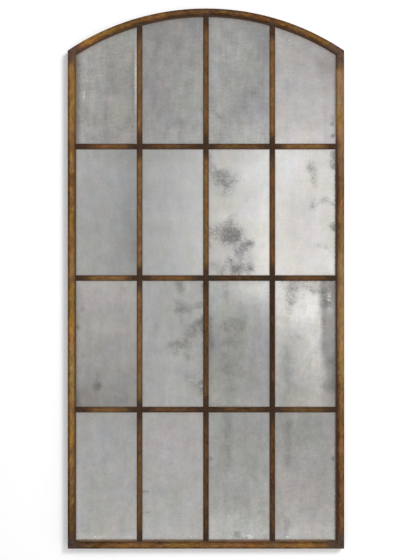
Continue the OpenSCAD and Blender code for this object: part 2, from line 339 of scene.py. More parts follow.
UMBER = srgb(52, 32, 14)
BROWN = srgb(110, 75, 38)
GOLD = srgb(156, 118, 58)
PALE_GOLD = srgb(180, 147, 84)
DUST_AND_SHEEN = srgb(158, 130, 100)
RIM_BROWN = srgb(84, 60, 46)
SCORCHED = (srgb(58, 46, 46), srgb(90, 66, 48))
BURNT = (srgb(42, 27, 21), srgb(58, 35, 16))
BURNT_GREEN = srgb(32, 32, 16)

# How fast the strokes and the patches change along a piece, against across it
STROKES_DRAWN = 0.22
PATCHES_DRAWN = 0.5


def rubbed_finish(name, unevenness, burnt, red, blue):
    """Gold rubbed over brown along the length, worn dark on arrises and burnt at joints.

    It reads these numbers from each piece: along and across in metres, the level of gold,
    which carries painted shade across the rails, and from 0 to 1 how much pale dust and
    painted highlight, how worn at the rim, how burnt and how green it is. burnt is the pair
    of tones that its burns lie between. Its hue drifts about these shares of red and blue.
    """
    tree = new_material(name)
    along = tree.number("along")
    across = tree.number("across")
    point = tree.object_point()

    strokes_at = tree.vector(across, tree.math("MULTIPLY", along, STROKES_DRAWN), 0.0)
    strokes = tree.noise(strokes_at, 190, 5, 0.62, 0.6)
    patches_at = tree.vector(across, tree.math("MULTIPLY", along, PATCHES_DRAWN), 0.0)
    patches = tree.noise(patches_at, 34, 3, 0.5)
    flecks = tree.noise(point, 320, 2, 0.5)
    grain = tree.noise(point, 900, 3, 0.6)

    level = tree.number("gold")
    for texture, share in ((strokes, 1.0), (patches, 0.6), (flecks, 0.45), (grain, 0.3)):
        level = tree.vary(level, texture, share * unevenness)
    colour = tree.ramp(level, (0.0, UMBER), (0.35, BROWN), (0.72, GOLD), (1.0, PALE_GOLD))

    # Pale dust, and a painted highlight on the bottom rail's bevel
    dust = tree.vary(tree.number("dusty"), tree.noise(strokes_at, 70, 3, 0.5), 0.8)
    colour = tree.mix(tree.step(dust, 0, 1, 0, 0.8), colour, DUST_AND_SHEEN)

    red = tree.vary(red, tree.noise(point, 9, 2, 0.5), 0.7)
    blue = tree.vary(blue, tree.noise(point, 13, 2, 0.5), 1.5)
    colour = tree.mix(1, colour, tree.vector(red, 1.0, blue), "MULTIPLY")

    rim = tree.vary(tree.number("rim"), strokes, 0.9)
    rim = tree.step(rim, 0.3, 0.85, 0.0, 0.9)
    colour = tree.mix(rim, colour, RIM_BROWN)

    burn = tree.vary(tree.number("burn"), tree.noise(point, 60, 5, 0.6), 0.7)
    burn = tree.step(tree.vary(burn, strokes, 0.4), 0, 1, 0, 0.94)
    scorch = tree.ramp(tree.noise(point, 78, 4, 0.62), (0.38, burnt[0]), (0.62, burnt[1]))
    colour = tree.mix(burn, colour, tree.mix(tree.number("green"), scorch, BURNT_GREEN))
    worn = tree.math("MULTIPLY", tree.step(flecks, 0.62, 0.74, 0.0, 0.6), tree.number("burn"))
    colour = tree.mix(worn, colour, DUST_AND_SHEEN)

    dull = tree.math("MAXIMUM", rim, burn)
    tree.surface(
        Base_Color=colour,
        Metallic=tree.step(dull, 0, 1, 0.35, 0.1),
        Roughness=tree.step(strokes, 0.3, 0.7, 0.5, 0.36),
        Specular_IOR_Level=0.2,
        Normal=tree.bump(tree.math("MULTIPLY_ADD", grain, 0.35, strokes), 0.25 * MM, 0.6),
    )
    return tree.owner


# Antiqued mirror

FOX_GREEN = srgb(94, 98, 94)
FOX_PLUM = srgb(102, 98, 99)
# The brown of painted shade, with some grime, beside the glass's edges
SHADE_AND_GRIME_BROWN = srgb(96, 82, 70)
GLINT = srgb(238, 238, 232)


def antique_mirror():
    """Aged silvering and painted reflection; each pane gives its tone, foxing and painted
    shade.
    """
    tree = new_material("antique_mirror")
    point = tree.object_point()
    foxing = tree.number("foxing")

    clouds = tree.noise(point, 24, 6, 0.6)
    mottle = tree.noise(point, 95, 5, 0.68)
    drawn = tree.noise(tree.stretch(point, (1, 1, 0.1)), 170, 3, 0.55)
    brushed = tree.noise(tree.stretch(point, (0.1, 1, 1)), 170, 3, 0.55)
    blotches = tree.noise(point, 10, 2, 0.5)
    runs = tree.noise(tree.stretch(point, (1, 1, 0.2)), 34, 3, 0.55)
    uneven = tree.vary(0.0, clouds, 0.75)
    finer = ((mottle, 0.6), (drawn, 0.2), (brushed, 0.2), (blotches, 0.5), (runs, 0.4))
    for texture, share in finer:
        uneven = tree.vary(uneven, texture, share)
    shade = tree.math("MULTIPLY_ADD", uneven, tree.number("mottled"), 1.0)

    red = tree.vary(shade, tree.noise(point, 15, 2, 0.5), 0.16)
    blue = tree.vary(shade, tree.noise(point, 11, 2, 0.5), 0.24)
    # The pane's own tone: aged silvering with a painted reflection of the room
    colour = tree.mix(1, tree.colour("silver_and_reflection"), tree.vector(red, shade, blue), "MULTIPLY")

    fine = tree.noise(point, 130, 5, 0.72)
    specks = tree.math("MULTIPLY", tree.vary(0.0, fine, 1.9), tree.number("specks"))
    smoke = tree.vary(specks, tree.noise(point, 36, 6, 0.62), 1.5)
    reached = tree.math("MINIMUM", tree.math("MULTIPLY", foxing, 2.5), 1.0)
    smoke = tree.math("MULTIPLY", smoke, reached)
    fox = tree.step(tree.math("MULTIPLY_ADD", foxing, 1.15, smoke), 0.08, 1.25, 0.0, 0.9)
    lost = tree.mix(tree.step(tree.noise(point, 9, 2, 0.5), 0.4, 0.6), FOX_GREEN, FOX_PLUM)
    colour = tree.mix(fox, colour, lost)

    flecks = tree.noise(point, 230, 2, 0.5)
    sparks = tree.math("MULTIPLY_ADD", tree.number("glint"), 0.3, flecks)
    colour = tree.mix(tree.step(sparks, 0.71, 0.87, 0.0, 0.75), colour, GLINT)

    # Painted shade, with some grime, beside the edges that show
    smear = tree.vary(0.35, fine, 1.2)
    colour = tree.mix(tree.math("MULTIPLY", tree.number("shade_and_grime"), smear), colour, SHADE_AND_GRIME_BROWN)

    tree.surface(
        Base_Color=colour,
        Metallic=tree.step(fox, 0, 1, 1, 0.55),
        Roughness=tree.math("MULTIPLY_ADD", fox, 0.25, tree.step(clouds, 0.3, 0.7, 0.16, 0.24)),
        Coat_Weight=0.6,
        Coat_Roughness=0.04,
    )
    return tree.owner


# Materials of the back

BOARD = (srgb(112, 80, 50), srgb(150, 114, 78), srgb(178, 144, 104))
RUBBER = (srgb(34, 33, 32), srgb(66, 63, 60))
MASTIC = (srgb(196, 188, 172), srgb(222, 216, 202))
ZINC = (srgb(150, 152, 148), srgb(196, 197, 192))
SCREW = (srgb(160, 158, 150), srgb(206, 205, 198))
RING = (srgb(164, 164, 160), srgb(206, 206, 202))


def fibreboard():
    """Raw brown fibreboard: short matted fibres and soft patches."""
    tree = new_material("fibreboard")
    point = tree.object_point()
    patches = tree.noise(point, 7, 4, 0.5)
    matted = tree.noise(tree.stretch(point, (1, 1, 0.35)), 260, 6, 0.7, 1.5)
    fibres = tree.noise(tree.stretch(point, (0.3, 1, 1)), 700, 4, 0.6, 2.0)
    level = tree.vary(tree.vary(patches, matted, 0.9), fibres, 0.6)
    tree.surface(
        Base_Color=tree.ramp(level, (0.1, BOARD[0]), (0.5, BOARD[1]), (0.9, BOARD[2])),
        Roughness=tree.step(matted, 0.3, 0.7, 0.8, 0.62),
        Normal=tree.bump(tree.math("ADD", matted, fibres), 0.2 * MM, 0.5),
    )
    return tree.owner


def plated_steel(name, tones, scale):
    """Zinc-plated steel with a faint spangle, fine scratches and dull smears."""
    tree = new_material(name)
    point = tree.object_point()
    smears = tree.noise(point, scale, 5, 0.6)
    scratches = tree.noise(tree.stretch(point, (1, 1, 0.08)), 2600, 2, 0.5)
    tree.surface(
        Base_Color=tree.ramp(smears, (0.25, tones[0]), (0.7, tones[1])),
        Metallic=0.95,
        Roughness=tree.step(smears, 0.25, 0.75, 0.46, 0.27),
        Normal=tree.bump(scratches, 0.03 * MM, 0.5),
    )
    return tree.owner


def rubber():
    tree = new_material("rubber")
    dust = tree.noise(tree.object_point(), 340, 5, 0.65)
    tree.surface(
        Base_Color=tree.ramp(dust, (0.35, RUBBER[0]), (0.8, RUBBER[1])),
        Roughness=tree.step(dust, 0.3, 0.7, 0.7, 0.85),
        Normal=tree.bump(dust, 0.1 * MM, 0.4),
    )
    return tree.owner


def mastic():
    tree = new_material("mastic")
    lumps = tree.noise(tree.object_point(), 180, 4, 0.6)
    tree.surface(
        Base_Color=tree.ramp(lumps, (0.3, MASTIC[0]), (0.7, MASTIC[1])),
        Roughness=0.6,
        Normal=tree.bump(lumps, 0.4 * MM, 0.5),
    )
    return tree.owner


# Mesh building

def evenly(start, end, step):
    """Places from start to end, about a step apart."""
    count = round((end - start) / step)
    return [start + (end - start) * k / count for k in range(count + 1)]


def arc(centre, radius, start, end, count):
    """Points of an arc between two directions from its centre."""
    start, end = start.normalized(), end.normalized()
    return [centre + start.slerp(end, k / count) * radius for k in range(count + 1)]


def round_corner(before, corner, after, radius, count=3):
    """Points of the arc that rounds a corner between two straight runs."""
    to_before = (before - corner).normalized()
    to_after = (after - corner).normalized()
    half = to_before.angle(to_after) / 2
    centre = corner + (to_before + to_after).normalized() * radius / math.sin(half)
    reach = radius / math.tan(half)
    start = corner + to_before * reach - centre
    end = corner + to_after * reach - centre
    return arc(centre, radius, start, end, count)


def outline(corners, step):
    """Closed outline through (point, radius) corners, with no run longer than a step."""
    points = []
    for i, (corner, radius) in enumerate(corners):
        before = corners[i - 1][0]
        after = corners[(i + 1) % len(corners)][0]
        points += round_corner(before, corner, after, radius) if radius else [corner]
    closed = []
    for i, point in enumerate(points):
        run = points[(i + 1) % len(points)] - point
        parts = max(1, math.ceil(run.length / step))
        closed += [point + run * (k / parts) for k in range(parts)]
    return closed


def inward_normals(points):
    """Unit normals that point into a closed outline."""
    count = len(points)
    turn = 1 if sum(points[i - 1].cross(points[i]) for i in range(count)) > 0 else -1
    normals = []
    for i in range(count):
        along = (points[(i + 1) % count] - points[i - 1]).normalized()
        normals.append(Vector((-along.y, along.x)) * turn)
    return normals


def distances(points):
    """Distance of each point from the first, along the outline."""
    found = [0]
    for before, point in zip(points, points[1:]):
        found.append(found[-1] + (point - before).length)
    return found


def gather(values, numbers):
    """Adds the numbers of one vertex to those of its piece."""
    for key, number in numbers.items():
        values.setdefault(key, []).append(number)


def make_piece(name, vertices, faces, values, material, replaced):
    """A piece of the object, with the numbers of its vertices that its finish reads."""
    piece = mesh_object(name, vertices, faces, material)
    mesh = piece.data
    for key, numbers in values.items():
        wide = hasattr(numbers[0], "__len__")
        attribute = mesh.attributes.new(key, "FLOAT_COLOR" if wide else "FLOAT", "POINT")
        flat = [v for row in numbers for v in row] if wide else numbers
        attribute.data.foreach_set("color" if wide else "value", flat)
    mesh.shade_smooth()
    mesh.set_sharp_from_angle(angle=SHARP_ANGLE)
    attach(piece, "mirror")
    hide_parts(replaced)


def sweep(name, section, stations, placed, material, replaced):
    """A piece whose closed section is carried along its stations.

    placed gives the place of a point of the section at a station, and its numbers.
    """
    ring = list(zip(section, inward_normals(section), distances(section)))
    vertices, values = [], {}
    for station in stations:
        for point, normal, across in ring:
            place, numbers = placed(station, point, normal)
            vertices.append(place)
            gather(values, dict(numbers, across=across))
    count = len(ring)
    last = len(vertices) - count
    faces = []
    for row in range(0, last, count):
        for i in range(count):
            j = (i + 1) % count
            faces.append((row + i, row + j, row + count + j, row + count + i))
    faces.append(tuple(reversed(range(count))))
    faces.append(tuple(range(last, last + count)))
    make_piece(name, vertices, faces, values, material, replaced)


def forged(point, seed):
    """How far the surface at a point is pushed in by the hand finish."""
    wave = noise.noise(point / FORGED_WAVE + Vector((seed, 0, 0)))
    ripple = noise.noise(point / FORGED_RIPPLE + Vector((0, seed, 0)))
    return SKIN + FORGED * (0.5 + 0.35 * wave + 0.15 * ripple)


# Frame rails

def frame_outline():
    """The frame's section in u and d, with its arrises a little rounded."""
    crown = Vector((BAND_W / 2, CROWN_R))
    reach = CROWN_R - EDGE_R
    corner_u = crown.x - EDGE_R
    edge = Vector((EDGE_R, CROWN_R - math.sqrt(reach**2 - corner_u**2)))
    band_edge = Vector((BAND_W, CROWN_R - math.sqrt(CROWN_R**2 - (BAND_W / 2) ** 2)))
    crown_points = arc(crown, CROWN_R, edge - crown, band_edge - crown, 12)
    corners = [(Vector((0, FRAME_D)), 0.8 * MM)]
    corners += [(p, 0) for p in arc(edge, EDGE_R, Vector((-1, 0)), edge - crown, 5)]
    corners += [(p, 0) for p in crown_points[1:-1]]
    corners += [
        (band_edge, 0.9 * MM),
        (Vector((FACE_W, BEVEL_D)), 0.6 * MM),
        (Vector((FACE_W, GLASS_D)), 0.3 * MM),
        (Vector((FLANGE_W, GLASS_D)), 0),
        (Vector((FLANGE_W, FRAME_D)), 0.8 * MM),
    ]
    return outline(corners, SECTION_STEP)


def stile_point(side, t, u):
    top = arch_height(WIDTH / 2 - u, u)
    return side * (WIDTH / 2 - u), u + (top - u) * t


def bottom_point(t, u):
    return (WIDTH / 2 - u) * (2 * t - 1), u


def arch_point(t, u):
    x = WIDTH / 2 - u
    mitre = math.atan2(arch_height(x, u) - ARCH_Z, x)
    angle = mitre + (math.pi - 2 * mitre) * t
    return -(ARCH_R - u) * math.cos(angle), ARCH_Z + (ARCH_R - u) * math.sin(angle)


# Corners of the frame, and the places on it where a bar ends
CORNERS = [Vector((s * WIDTH / 2, z)) for s in (-1, 1) for z in (0, HEIGHT - ARCH_RISE)]
JOINTS = [Vector((x, FACE_W)) for x in BAR_X]
JOINTS += [Vector((x, arch_height(x, FACE_W))) for x in BAR_X]
JOINTS += [Vector((s * (WIDTH / 2 - FACE_W), z)) for s in (-1, 1) for z in BAR_Z]


def profile(stops, value):
    """The number at a value along a list of (value, number) stops, smoothly joined."""
    if value <= stops[0][0]:
        return stops[0][1]
    for (a, low), (b, high) in zip(stops, stops[1:]):
        if value <= b:
            return low + (high - low) * smooth(a, b, value)
    return stops[-1][1]


# How much less gold shows across a rail, by u in millimetres: gold rubbed thinner towards
# the edges, and painted shade where the crowned face turns away from the light
ARCH_FADE_AND_SHADE = [
    (0, 0.2), (5, 0.17), (9, 0.04), (14, 0.04), (17, 0.1), (21, 0.22), (25, 0.34), (28, 0.36),
]
LEFT_FADE_AND_SHADE = [
    (0, 0.36), (4, 0.38), (8, 0.16), (12, 0), (18, 0), (22, 0.06), (26, 0.18), (28, 0.24),
]
RIGHT_FADE_AND_SHADE = [
    (0, 0.36), (4, 0.24), (8, 0.02), (12, 0.03), (16, 0.1), (20, 0.22), (24, 0.4), (28, 0.45),
]
BOTTOM_FADE_AND_SHADE = [
    (0, 0.3), (4, 0.24), (8, 0.08), (12, 0), (16, 0.03), (20, 0.08), (24, 0.28), (28, 0.34),
]

# How worn a rail is at its outer arris, at its inner one and on its sides, behind FACE_D
OUTER_WEAR = 0.7
INNER_WEAR = 0.8
SIDE_WEAR = 0.62
FACE_D = 9 * MM

# Where a burn starts to fade and where it ends, from a corner of the frame
LEFT_BURN = (16 * MM, 90 * MM)
RIGHT_BURN = (25 * MM, 110 * MM)

# The same from the end of a bar, and how burnt a rail is there
JOINT_BURN = (4 * MM, 40 * MM)
JOINT_BURNT = 0.5

# How green the burns at the foot are, and how high up that fades
FOOT_GREEN = 0.22
FOOT_GREEN_FADE = (30 * MM, 150 * MM)

# Painted highlight on the bevel of the bottom rail, which faces up: how much paler it is
FOOT_BEVEL_HIGHLIGHT = 0.72


def frame_numbers(u, d, x, z, gold, dusty, dark_edge, bevel_highlight):
    """Numbers that the rubbed finish reads, at a point of the frame."""
    here = Vector((x, z))
    on_face = d < FACE_D
    outer = OUTER_WEAR * (1 - smooth(0, 3 * MM, u))
    inner = INNER_WEAR * dark_edge * smooth(BAND_W - 2 * MM, BAND_W + 2 * MM, u)
    # A painted highlight on the bottom rail's bevel: paler, and darkened less at the rim
    bevel_highlight *= smooth(BAND_W + 1.5 * MM, BAND_W + 3.5 * MM, u) if on_face else 0
    rim = max(outer, inner) * (1 - bevel_highlight) if on_face else SIDE_WEAR
    corner = min((here - c).length for c in CORNERS)
    joint = min((here - c).length for c in JOINTS)
    near, far = RIGHT_BURN if x > 0 else LEFT_BURN
    burn = max(1 - smooth(near, far, corner), JOINT_BURNT * (1 - smooth(*JOINT_BURN, joint)))
    green = FOOT_GREEN * (1 - smooth(*FOOT_GREEN_FADE, z))
    return {"rim": rim, "burn": burn, "gold": gold, "dusty": max(dusty, bevel_highlight), "green": green}


def make_rail(name, path, length, material, gold, dusty, dark_edge, fade, seed, bevel_highlight=0):
    """One rail of the frame. The levels run along it from its start, as shares of its length.

    dark_edge is how dark it is beside the glass, fade how much less gold shows across it,
    with painted shade, and the highlight share how much paler its bevel is painted.
    """

    def placed(t, point, normal):
        x, z = path(t, point.x)
        u, d = point + normal * forged(Vector((x, FRONT_Y + point.y, z)), seed)
        x, z = path(t, u)
        edge = profile(dark_edge, t)
        # The fade across the rail is thinner gold and painted shade
        level = profile(gold, t) - profile(fade, u / MM) * (edge if u > BAND_W / 2 else 1)
        numbers = frame_numbers(u, d, x, z, level, profile(dusty, t), edge, bevel_highlight)
        return (x, FRONT_Y + d, z), dict(numbers, along=seed + t * length)

    stations = evenly(0, 1, STATION / length)
    sweep(name, frame_outline(), stations, placed, material, f"frame_{name}")


def make_frame(material):
    """Levels run from the foot up on the stiles and from the left on the other rails."""
    stile_l = HEIGHT - ARCH_RISE
    arch_l = ARCH_R * 2 * math.asin(WIDTH / 2 / ARCH_R)
    make_rail(
        "left_stile", lambda t, u: stile_point(-1, t, u), stile_l, material,
        gold=[(0, 0.24), (0.09, 0.38), (0.2, 0.53), (0.35, 0.63), (0.5, 0.58), (0.62, 0.52),
              (0.74, 0.43), (0.86, 0.58), (1, 0.56)],
        dusty=[(0, 0), (0.8, 0.05), (1, 0.2)],
        dark_edge=[(0.8, 1), (0.88, 0.7)], fade=LEFT_FADE_AND_SHADE, seed=3,
    )
    make_rail(
        "right_stile", lambda t, u: stile_point(1, t, u), stile_l, material,
        gold=[(0, 0.36), (0.25, 0.44), (0.4, 0.7), (0.55, 0.58), (0.66, 0.5), (0.75, 0.36),
              (0.84, 0.5), (0.9, 0.56), (1, 0.34)],
        dusty=[(0, 0), (0.3, 0.05), (0.42, 0.3), (0.55, 0.42), (0.68, 0.15), (0.8, 0.35),
               (1, 0.52)],
        dark_edge=[(0.8, 1), (0.86, 0)], fade=RIGHT_FADE_AND_SHADE, seed=7,
    )
    make_rail(
        "bottom_rail", bottom_point, WIDTH, material,
        gold=[(0, 0.08), (0.07, 0.27), (0.2, 0.42), (0.5, 0.46), (0.7, 0.42), (0.92, 0.52),
              (1, 0.38)],
        dusty=[(0, 0)],
        dark_edge=[(0, 1)], fade=BOTTOM_FADE_AND_SHADE, seed=11, bevel_highlight=FOOT_BEVEL_HIGHLIGHT,
    )
    make_rail(
        "arch_rail", arch_point, arch_l, material,
        gold=[(0, 0.6), (0.1, 0.58), (0.25, 0.36), (0.5, 0.25), (0.75, 0.31), (0.92, 0.47),
              (1, 0.5)],
        dusty=[(0, 0.1), (0.15, 0), (1, 0.05)],
        dark_edge=[(0, 1)], fade=ARCH_FADE_AND_SHADE, seed=15,
    )


# Bars

# How worn the bevels are, how much less gold is left beside them, where a burn starts to
# fade and where it ends, and how far from a crossing the levels change over
BEVEL_WEAR = 0.85
BEVEL_FADE = 0.12
BAR_BURN = (8 * MM, 88 * MM)
CHANGE_OVER = 12 * MM

# Stations on both sides of each edge of a lap
LAP_STEPS = (-0.05 * MM, 0.05 * MM)


def bar_outline():
    """A bar's section in e, across it from its middle, and d."""
    half_w = BAR_W / 2
    corners = [
        (Vector((-half_w, GLASS_D)), 0),
        (Vector((-half_w, BAR_SHOULDER_D)), 0.7 * MM),
        (Vector((-BAR_FLAT, BAR_FRONT_D + 0.25 * MM)), 0.9 * MM),
        (Vector((0, BAR_FRONT_D)), 0),
        (Vector((BAR_FLAT, BAR_FRONT_D + 0.25 * MM)), 0.9 * MM),
        (Vector((half_w, BAR_SHOULDER_D)), 0.7 * MM),
        (Vector((half_w, GLASS_D)), 0),
    ]
    return outline(corners, SECTION_STEP)


def bar_stations(start, end, crossings, lap):
    edges = [c + s * (lap + o) for c in crossings for s in (-1, 1) for o in LAP_STEPS]
    return sorted(evenly(start, end, STATION) + edges)


def segment_level(crossings, levels, place):
    """The level of the length of bar that a place is on, changing over at each crossing."""
    level = levels[0]
    for c, following in zip(crossings, levels[1:]):
        level += (following - level) * smooth(c - CHANGE_OVER, c + CHANGE_OVER, place)
    return level


def bar_numbers(e, place, joints, gold, green):
    """Numbers that the rubbed finish reads, at e across a bar and a place along it."""
    rim = BEVEL_WEAR * smooth(BAR_FLAT - 1 * MM, BAR_FLAT + 2.5 * MM, abs(e))
    burn = 1 - smooth(*BAR_BURN, min(abs(place - j) for j in joints))
    level, greenness = [segment_level(joints[1:-1], levels, place) for levels in (gold, green)]
    level -= BEVEL_FADE * smooth(0, BAR_FLAT, abs(e))
    return {"rim": rim, "burn": burn, "gold": level, "dusty": 0.0, "green": greenness}


def make_upright(i, gold, green, material):
    """A bar that runs through in front at each crossing, with its back let out there."""
    x0 = BAR_X[i]
    low, high = BAR_END_U, arch_height(x0, BAR_END_U)
    lap = BAR_W / 2
    joints = [low] + BAR_Z + [arch_height(x0, FACE_W)]

    def placed(z, point, normal):
        e, d = point + normal * forged(Vector((x0 + point.x, FRONT_Y + point.y, z)), 20 + i)
        if any(abs(z - crossing) < lap for crossing in BAR_Z):
            d = min(d, BAR_LAP_D)
        top = arch_height(x0 + e, BAR_END_U)
        numbers = bar_numbers(e, z, joints, gold, green)
        height = low + (z - low) * (top - low) / (high - low)
        return (x0 + e, FRONT_Y + d, height), dict(numbers, along=20 + 3 * i + z)

    stations = bar_stations(low, high, BAR_Z, lap)
    name, replaced = f"upright_{i + 1}", f"vertical_bar_{i + 1}"
    sweep(name, bar_outline(), stations, placed, material, replaced)


def make_cross_bar(i, gold, green, material):
    """A bar that passes behind the uprights' faces and is scribed over their bevels."""
    z0 = BAR_Z[i]
    end = WIDTH / 2 - BAR_END_U
    joints = [-WIDTH / 2 + FACE_W] + BAR_X + [WIDTH / 2 - FACE_W]

    def placed(x, point, normal):
        e, d = point + normal * forged(Vector((x, FRONT_Y + point.y, z0 + point.x)), 30 + i)
        if any(abs(x - crossing) < BAR_FLAT for crossing in BAR_X):
            d = max(d, BAR_LAP_D)
        numbers = bar_numbers(e, x, joints, gold, green)
        return (x, FRONT_Y + d, z0 + e), dict(numbers, along=40 + 3 * i + x)

    stations = bar_stations(-end, end, BAR_X, BAR_FLAT)
    name, replaced = f"cross_bar_{i + 1}", f"horizontal_bar_{i + 1}"
    sweep(name, bar_outline(), stations, placed, material, replaced)


def make_bars(material):
    """Levels run from the bottom up on the uprights and from the left on the cross bars."""
    plain = (0, 0, 0, 0)
    make_upright(0, (0.33, 0.46, 0.46, 0.41), plain, material)
    make_upright(1, (0.17, 0.22, 0.43, 0.32), plain, material)
    make_upright(2, (0.19, 0.03, 0.31, 0.43), (0, 0.5, 0.2, 0), material)
    make_cross_bar(0, (0.39, 0.24, 0.19, 0.3), plain, material)
    make_cross_bar(1, (0.48, 0.36, 0.17, 0.28), (0, 0.2, 0.5, 0.4), material)
    make_cross_bar(2, (0.32, 0.25, 0.32, 0.46), plain, material)


# Panes

ROW_EDGE = [HEIGHT] + BAR_Z[::-1] + [FLANGE_W]
COLUMN_EDGE = [-WIDTH / 2 + FLANGE_W] + BAR_X + [WIDTH / 2 - FLANGE_W]
PANE_GAP = 3 * MM
PANE_EDGE_U = FLANGE_W + PANE_GAP / 2
UNDER_RAIL = FACE_W - PANE_EDGE_U
UNDER_BAR = (BAR_W - PANE_GAP) / 2
EDGE_STEPS = [0.0, 2 * MM, 5 * MM]

# The glass's ripple: how deep it is and how long its waves are
RIPPLE_D = 0.12 * MM
RIPPLE_WAVE = 90 * MM

# Painted shade and some grime beside an edge that shows: how thick it is there, and its
# reach. Beside the right stile and under the arch it is painted shadow.
BAR_SHADE_AND_GRIME = (0.9, 3 * MM)
RAIL_SHADE_AND_GRIME = (1.5, 3 * MM)
FOOT_SHADE_AND_GRIME = (4.0, 2.2 * MM)
STILE_SHADOW = (6.5, 2.5 * MM)
SHOULDER_SHADOW = (2.6, 3.2 * MM)
ARCH_SHADOW = (1.3, 9 * MM)

# How much wider foxing is than its given radius
FOX_SPREAD = 1.4


def swell(x, z, reach_x, reach_z, power=2):
    """1 at the middle of an area and next to 0 outside it, at x and z from the middle."""
    return math.exp(-((x / reach_x) ** power) - (z / reach_z) ** power)


class Pane:
    """How the silvering of one pane has aged, and the reflection painted into it.

    Places are millimetres across and up from the lower left corner that shows. Tones are
    greys of 255, as the eye sees them, and hold a painted reflection of the room in front as
    well as the age of the silvering. tone is its middle, and to_right and to_top what it
    gains from left to right and from bottom to top. pink is how much redder than green it
    is, and cool how much bluer. mottled is how uneven it is, and specks how grainy its
    foxing. A cloud is soft: a middle, how far it reaches across and up, and its change of
    tone, pink and cool. Some clouds and a patch are painted shadow beside the bars and
    rails, and one cloud is a painted highlight. A patch is a cloud with a clearer edge. A
    spot or a streak is foxing, where the silvering has gone, with its radius and how far
    gone it is, from 0 to 1. A glint is an area of bright flecks, and how thick they are.
    """

    def __init__(self, tone, to_right, to_top, pink, cool, mottled, specks=0.6):
        self.tones = tone, to_right, to_top, pink, cool
        self.mottled = mottled
        self.specks = specks
        self.clouded = []
        self.foxing = []
        self.flecked = []

    def clouds(self, *clouds, power=2):
        for x, z, reach_x, reach_z, *change in clouds:
            change = (change + [0, 0])[:3]
            self.clouded.append((x, z, reach_x, reach_z, power, change))
        return self

    def patches(self, *patches):
        return self.clouds(*patches, power=6)

    def streaks(self, *streaks):
        for x0, z0, x1, z1, radius, depth in streaks:
            ends = Vector((x0, z0)), Vector((x1, z1))
            self.foxing.append((*ends, FOX_SPREAD * radius, depth))
        return self

    def spots(self, *spots):
        return self.streaks(*[(x, z, x, z, radius, depth) for x, z, radius, depth in spots])

    def glints(self, *glints):
        self.flecked += glints
        return self

    def silver_and_reflection(self, across, up, x, z):
        """The colour, with its painted reflection, at a share of the width and height, at x and
        z.
        """
        level, to_right, to_top, pink, cool = self.tones
        level += to_right * (across - 0.5) + to_top * (up - 0.5)
        for cx, cz, reach_x, reach_z, power, change in self.clouded:
            share = swell(x - cx, z - cz, reach_x, reach_z, power)
            level += change[0] * share
            pink += change[1] * share
            cool += change[2] * share
        return [linear(level + pink), linear(level), linear(level + cool), 1.0]

    def foxed(self, x, z):
        """How far the silvering has gone at x and z, from 0 to 1."""
        here = Vector((x, z))
        sound = 1
        for start, end, reach, depth in self.foxing:
            run = end - start
            share = (here - start).dot(run) / run.length_squared if run.length else 0.0
            gap = (start + run * min(1.0, max(0.0, share)) - here).length
            sound *= 1 - depth * math.exp(-((gap / reach) ** 2))
        return 1 - sound

    def glinting(self, x, z):
        """How thick the bright flecks are at x and z, from 0 to 1."""
        found = [0.0]
        for cx, cz, reach_x, reach_z, amount in self.flecked:
            found.append(amount * swell(x - cx, z - cz, reach_x, reach_z))
        return max(found)


